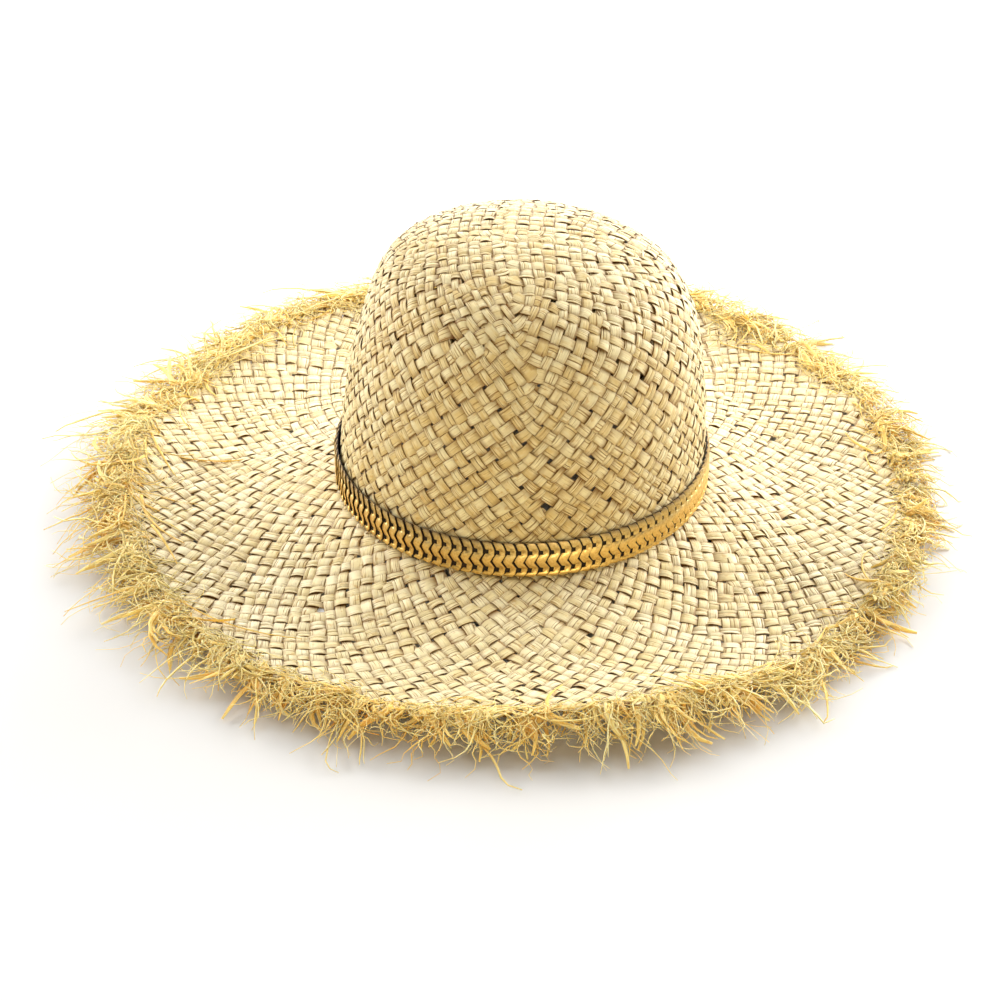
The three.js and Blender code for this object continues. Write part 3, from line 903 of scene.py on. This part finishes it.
def chain_pieces(gold, backing):
    pitch_angle = TURN / CHAIN_LINKS
    mean_radius = CHAIN_RADIUS * (1 + CROWN_DEPTH_RATIO) / 2
    pitch = mean_radius * pitch_angle
    share, swing, notch, fold = PLATE_ROWS.T[:, :, None]
    across, rise, dark = PLATE_SECTION.T[:, None, :]
    left = swing * PLATE_SWING + notch * NOTCH_WIDTH
    right = pitch - PLATE_GAP + swing * PLATE_SWING - notch * NOTCH_BITE
    place = left + (right - left) * across
    rows, sides = place.shape
    row = np.arange(rows - 1)[:, None] * sides
    j = np.arange(sides)
    k = (j + 1) % sides
    quads = np.stack([row + j, row + k, row + sides + k, row + sides + j], -1).reshape(-1, 4)
    caps = [j[None, ::-1], ((rows - 1) * sides + j)[None]]
    plates = MeshBuilder()
    for link in range(CHAIN_LINKS):
        tilt = rng.normal(0, PLATE_TILT, 2)
        offset = rise - fold + tilt[0] * (share - 0.5) + PLATE_OFFSET * rng.standard_normal()
        height = share * CHAIN_HEIGHT + 0 * across
        slant = tilt[1] * (share - 0.5) + rng.normal(0, PLATE_SHIFT)
        angle = (link * pitch + place + slant) / mean_radius
        vertices = band_point(angle, height, offset).reshape(-1, 3)
        tone = rng.random()
        strip = np.stack([height + LINK_SHIFT * link, 2 * across - 1 + 0 * share,
                          tone + 0 * place], -1)
        # Painted shade on the plates' sides and in the fold at their top
        top_shade = np.clip((share - TOP_SHADE_FROM) / (1 - TOP_SHADE_FROM), 0, TOP_MOST_SHADE)
        plate_shade = np.maximum(dark, top_shade) + 0 * place
        plates.add(vertices, [quads, *caps], strip.reshape(-1, 3), plate_shade.ravel())
    plates.build("chain_plates", gold, "chain_metal", "chain_band", sharp_angle=METAL_CREASE)

    tabs = MeshBuilder()
    angle = np.linspace(0, TURN, 3 * CHAIN_LINKS, endpoint=False)[:, None]
    corner_height = BACKING_CORNERS[:, 0] * CHAIN_HEIGHT
    corner_offset = BACKING_CORNERS[:, 1] + 0 * angle
    vertices = band_point(angle + 0 * corner_height, corner_height + 0 * angle, corner_offset)
    columns = np.arange(len(angle))[:, None] * 4
    beyond = np.roll(columns, -1, axis=0)
    j = np.arange(4)
    k = (j + 1) % 4
    quads = np.stack([columns + j, columns + k, beyond + k, beyond + j], -1).reshape(-1, 4)
    vertices = vertices.reshape(-1, 3)
    tabs.add(vertices, [quads], np.zeros(vertices.shape), np.zeros(len(vertices)))
    tabs.build("chain_tabs", backing, "chain_metal", "chain_band", sharp_angle=METAL_CREASE)


# Node helpers
def new_material(name):
    material = bpy.data.materials.new(name)
    material.use_nodes = True
    return material, material.node_tree.nodes, material.node_tree.links


def math_node(nodes, links, operation, first, second):
    node = nodes.new("ShaderNodeMath")
    node.operation = operation
    for socket, value in zip(node.inputs, (first, second)):
        if isinstance(value, (int, float)):
            socket.default_value = value
        else:
            links.new(value, socket)
    return node.outputs[0]


def ramp_node(nodes, links, factor, stops):
    ramp = nodes.new("ShaderNodeValToRGB")
    elements = ramp.color_ramp.elements
    while len(elements) < len(stops):
        elements.new(0.5)
    for element, (position, color) in zip(elements, stops):
        element.position = position
        element.color = (*color, 1)
    links.new(factor, ramp.inputs["Fac"])
    return ramp.outputs["Color"]


# A colour multiplied by another, by a factor that may be a socket
def multiply_node(nodes, links, factor, color, tint):
    mix = nodes.new("ShaderNodeMix")
    mix.data_type = "RGBA"
    mix.blend_type = "MULTIPLY"
    if isinstance(factor, (int, float)):
        mix.inputs["Factor"].default_value = factor
    else:
        links.new(factor, mix.inputs["Factor"])
    links.new(color, mix.inputs["A"])
    if isinstance(tint, tuple):
        mix.inputs["B"].default_value = (*tint, 1)
    else:
        links.new(tint, mix.inputs["B"])
    return mix.outputs["Result"]


def attribute_node(nodes, name):
    node = nodes.new("ShaderNodeAttribute")
    node.attribute_name = name
    return node


def noise_node(nodes, links, place, scale, detail, roughness=0.5):
    noise = nodes.new("ShaderNodeTexNoise")
    noise.inputs["Scale"].default_value = scale
    noise.inputs["Detail"].default_value = detail
    noise.inputs["Roughness"].default_value = roughness
    links.new(place, noise.inputs["Vector"])
    return noise.outputs["Fac"]


def bump_node(nodes, links, height, strength, distance, shader):
    bump = nodes.new("ShaderNodeBump")
    bump.inputs["Strength"].default_value = strength
    bump.inputs["Distance"].default_value = distance
    links.new(height, bump.inputs["Height"])
    links.new(bump.outputs["Normal"], shader.inputs["Normal"])


# Noise of the straw: scale along a strip for each mm, scale across it, detail. The seed moves
# the noise from tone to tone.
FINE_FIBRES = (0.07, 5.5, 4)
BROAD_FIBRES = (0.12, 0.9, 2)
STAINS = (0.28, 0.9, 2)
STRIP_SEED = 57.0

# Straw: roughness, depth in metres that light passes, and strength and depth of its relief
STRAW_ROUGHNESS = 0.5
GLOW_DEPTH = 0.0006
STRAW_BUMP = (0.7, 0.0003)


# Straw: long fibres along each strip, a tone of its own for each strip, and painted shade in the
# shade tint as far as the edge attribute says
def straw_material(name, pale, tan, streak, shade_tint, tone_share=0.35, gloss=0.25, glow=0):
    material, nodes, links = new_material(name)
    shader = nodes["Principled BSDF"]
    split = nodes.new("ShaderNodeSeparateXYZ")
    links.new(attribute_node(nodes, "strip").outputs["Vector"], split.inputs[0])
    along, across, tone = split.outputs

    def fibre(along_scale, across_scale, detail):
        place = nodes.new("ShaderNodeCombineXYZ")
        links.new(math_node(nodes, links, "MULTIPLY", along, along_scale), place.inputs[0])
        links.new(math_node(nodes, links, "MULTIPLY", across, across_scale), place.inputs[1])
        links.new(math_node(nodes, links, "MULTIPLY", tone, STRIP_SEED), place.inputs[2])
        return noise_node(nodes, links, place.outputs[0], 1, detail)

    fine = fibre(*FINE_FIBRES)
    broad = fibre(*BROAD_FIBRES)
    spots = fibre(*STAINS)
    mixed = math_node(nodes, links, "ADD", math_node(nodes, links, "MULTIPLY", tone, tone_share),
                      math_node(nodes, links, "MULTIPLY", broad, 1.3 - tone_share))
    body = ramp_node(nodes, links, mixed, [(0.4, tan), (0.85, pale)])
    streaks = ramp_node(nodes, links, fine, [(0.35, streak), (0.43, (1, 1, 1))])
    color = multiply_node(nodes, links, 0.8, body, streaks)
    stain = ramp_node(nodes, links, spots, [(0.62, (1, 1, 1)), (0.72, (0.82, 0.66, 0.46))])
    color = multiply_node(nodes, links, 0.7, color, stain)
    # Painted shade: the colour is multiplied by the shade tint as far as the edge attribute says
    edge = attribute_node(nodes, "edge").outputs["Fac"]
    color = multiply_node(nodes, links, edge, color, shade_tint)
    links.new(color, shader.inputs["Base Color"])
    shader.inputs["Roughness"].default_value = STRAW_ROUGHNESS
    shader.inputs["Specular IOR Level"].default_value = gloss
    shader.inputs["Subsurface Weight"].default_value = glow
    shader.inputs["Subsurface Radius"].default_value = (1, 1, 1)
    shader.inputs["Subsurface Scale"].default_value = GLOW_DEPTH
    bump_node(nodes, links, fine, *STRAW_BUMP, shader)
    return material


# Gold: warm below, darker and browner towards the top, mottled, and painted shade in dark brown on
# the plates' sides in the gaps and in the fold at their top
def gold_material():
    material, nodes, links = new_material("mottled_gold_painted_shade")
    shader = nodes["Principled BSDF"]
    strip = attribute_node(nodes, "strip").outputs["Vector"]
    split = nodes.new("ShaderNodeSeparateXYZ")
    links.new(strip, split.inputs[0])
    place, tone = split.outputs[0], split.outputs[2]
    height = math_node(nodes, links, "MODULO", place, LINK_SHIFT)
    height = math_node(nodes, links, "DIVIDE", height, CHAIN_HEIGHT)
    object_place = nodes.new("ShaderNodeTexCoord").outputs["Object"]
    patches = noise_node(nodes, links, object_place, 90, 3)
    grain = noise_node(nodes, links, object_place, 900, 4, 0.65)
    patches = math_node(nodes, links, "MULTIPLY", patches, 0.6)
    tone = math_node(nodes, links, "MULTIPLY", tone, 0.12)
    level = math_node(nodes, links, "ADD", height, patches)
    level = math_node(nodes, links, "ADD", level, tone)
    level = math_node(nodes, links, "MULTIPLY", level, 0.7)
    color = ramp_node(nodes, links, level, [(0.3, (1.0, 0.72, 0.26)), (0.6, (1.0, 0.72, 0.28)),
                                           (0.8, (0.86, 0.68, 0.32)), (1.0, (0.6, 0.47, 0.25))])
    mottle = ramp_node(nodes, links, grain, [(0.3, (0.72, 0.58, 0.42)), (0.55, (1, 1, 1))])
    color = multiply_node(nodes, links, 0.7, color, mottle)
    # Painted shade in dark brown, as far as the edge attribute says
    edge = attribute_node(nodes, "edge").outputs["Fac"]
    color = multiply_node(nodes, links, edge, color, (0.2, 0.12, 0.07))
    links.new(color, shader.inputs["Base Color"])
    shader.inputs["Metallic"].default_value = 1
    rough = ramp_node(nodes, links, grain, [(0.3, (0.5, 0.5, 0.5)), (0.7, (0.28, 0.28, 0.28))])
    links.new(rough, shader.inputs["Roughness"])
    bump_node(nodes, links, grain, 0.35, 0.0002, shader)
    return material


# Near-black backing for the chain's dark inner links, which also paints the shade in the gaps
# between the plates and under the crown
def backing_material():
    material, nodes, links = new_material("dark_backing_painted_shade")
    shader = nodes["Principled BSDF"]
    object_place = nodes.new("ShaderNodeTexCoord").outputs["Object"]
    grain = noise_node(nodes, links, object_place, 400, 3)
    color = ramp_node(nodes, links, grain, [(0.3, (0.008, 0.005, 0.003)),
                                           (0.7, (0.03, 0.017, 0.008))])
    links.new(color, shader.inputs["Base Color"])
    shader.inputs["Metallic"].default_value = 0.4
    shader.inputs["Roughness"].default_value = 0.6
    return material


# Colours of the fine streaks, and of the painted shade at the edges, creases and hollows of the
# woven strips
STREAK = (0.36, 0.2, 0.06)
PAINTED_SHADE_COLOR = (0.28, 0.13, 0.02)

straw = {
    # The crown's straw is set darker and browner than the brim's: painted shade for the crown's
    # front, which the lamps behind leave in shade
    "crown": straw_material("straw_crown", (0.89, 0.8, 0.5), (0.74, 0.57, 0.25), STREAK, PAINTED_SHADE_COLOR),
    "brim": straw_material("straw_brim", (0.95, 0.87, 0.58), (0.84, 0.71, 0.37), STREAK, PAINTED_SHADE_COLOR),
}
# The fringe's last colour is its painted shade, deep in the fringe and on the strands' sides
frayed = straw_material("straw_fringe", (1.0, 0.85, 0.38), (1.0, 0.7, 0.22),
                        (0.9, 0.62, 0.26), (0.92, 0.5, 0.1),
                        tone_share=0.75, gloss=0.15, glow=0.6)
strip_ends = weave_pieces(Weave(), straw)
fringe_pieces(strip_ends, frayed)
chain_pieces(gold_material(), backing_material())

# Camera: distance and height of its aim in mm, focal length in widths of the sensor, shift
ELEVATION = math.radians(32)
CAMERA_DISTANCE = 1274
AIM_Z = 19.6
SENSOR_WIDTH = 36
FOCAL_SHARE = 2.539
CAMERA_SHIFT = (-0.022, -0.042)


# Area lights: place in metres, size in metres, power in watts
LIGHTS = {
    "top_light": ((0, 0.2, 1.8), 1.4, 10),
    "back_light": ((0, 1.7, 0.5), 1.2, 22),
    "back_left_light": ((-1.2, 1.1, 0.58), 1.0, 26),
    "back_right_light": ((1.2, 1.1, 0.58), 1.0, 40),
    "left_light": ((-1.6, 0.3, 0.9), 1.0, 20),
    "right_light": ((1.6, 0.3, 0.9), 1.0, 20),
    "front_light": ((0, -1.6, 1.0), 1.0, 4),
    "low_front_light": ((0, -1.7, 0.4), 1.0, 12),
}
WARM_LIGHTS = ("front_light", "low_front_light")
WARM = (1.0, 0.84, 0.54)
WORLD_STRENGTH = 0.05
FLOOR_SHADE = 0.75
FLOOR_HALF = 4.0


def add_floor():
    mesh = bpy.data.meshes.new("floor")
    half = FLOOR_HALF
    corners = [(-half, -half, 0), (half, -half, 0), (half, half, 0), (-half, half, 0)]
    mesh.from_pydata(corners, [], [(0, 1, 2, 3)])
    floor = bpy.data.objects.new("floor", mesh)
    bpy.context.collection.objects.link(floor)
    material, nodes, _ = new_material("floor_white")
    shader = nodes["Principled BSDF"]
    shader.inputs["Base Color"].default_value = (FLOOR_SHADE, FLOOR_SHADE, FLOOR_SHADE, 1)
    shader.inputs["Roughness"].default_value = 0.9
    mesh.materials.append(material)


def add_lights():
    world = bpy.data.worlds.new("studio")
    world.use_nodes = True
    world.node_tree.nodes["Background"].inputs["Strength"].default_value = WORLD_STRENGTH
    bpy.context.scene.world = world
    for name, (place, size, power) in LIGHTS.items():
        data = bpy.data.lights.new(name, "AREA")
        data.size = size
        data.energy = power
        data.color = WARM if name in WARM_LIGHTS else (1, 1, 1)
        light = bpy.data.objects.new(name, data)
        light.location = place
        yaw = math.atan2(place[1], place[0])
        pitch = math.atan2(math.hypot(place[0], place[1]), place[2])
        light.rotation_euler = (0, pitch, yaw)
        bpy.context.collection.objects.link(light)


def add_camera():
    data = bpy.data.cameras.new("camera")
    data.sensor_width = SENSOR_WIDTH
    data.lens = SENSOR_WIDTH * FOCAL_SHARE
    data.shift_x, data.shift_y = CAMERA_SHIFT
    obj = bpy.data.objects.new("camera", data)
    back = CAMERA_DISTANCE * math.cos(ELEVATION)
    rise = CAMERA_DISTANCE * math.sin(ELEVATION)
    obj.location = tuple((AXIS + np.array([0, -back, AIM_Z + rise])) * MM)
    obj.rotation_euler = (math.pi / 2 - ELEVATION, 0, 0)
    bpy.context.collection.objects.link(obj)
    bpy.context.scene.camera = obj


add_floor()
add_lights()
add_camera()
bpy.context.scene.view_settings.view_transform = "Standard"
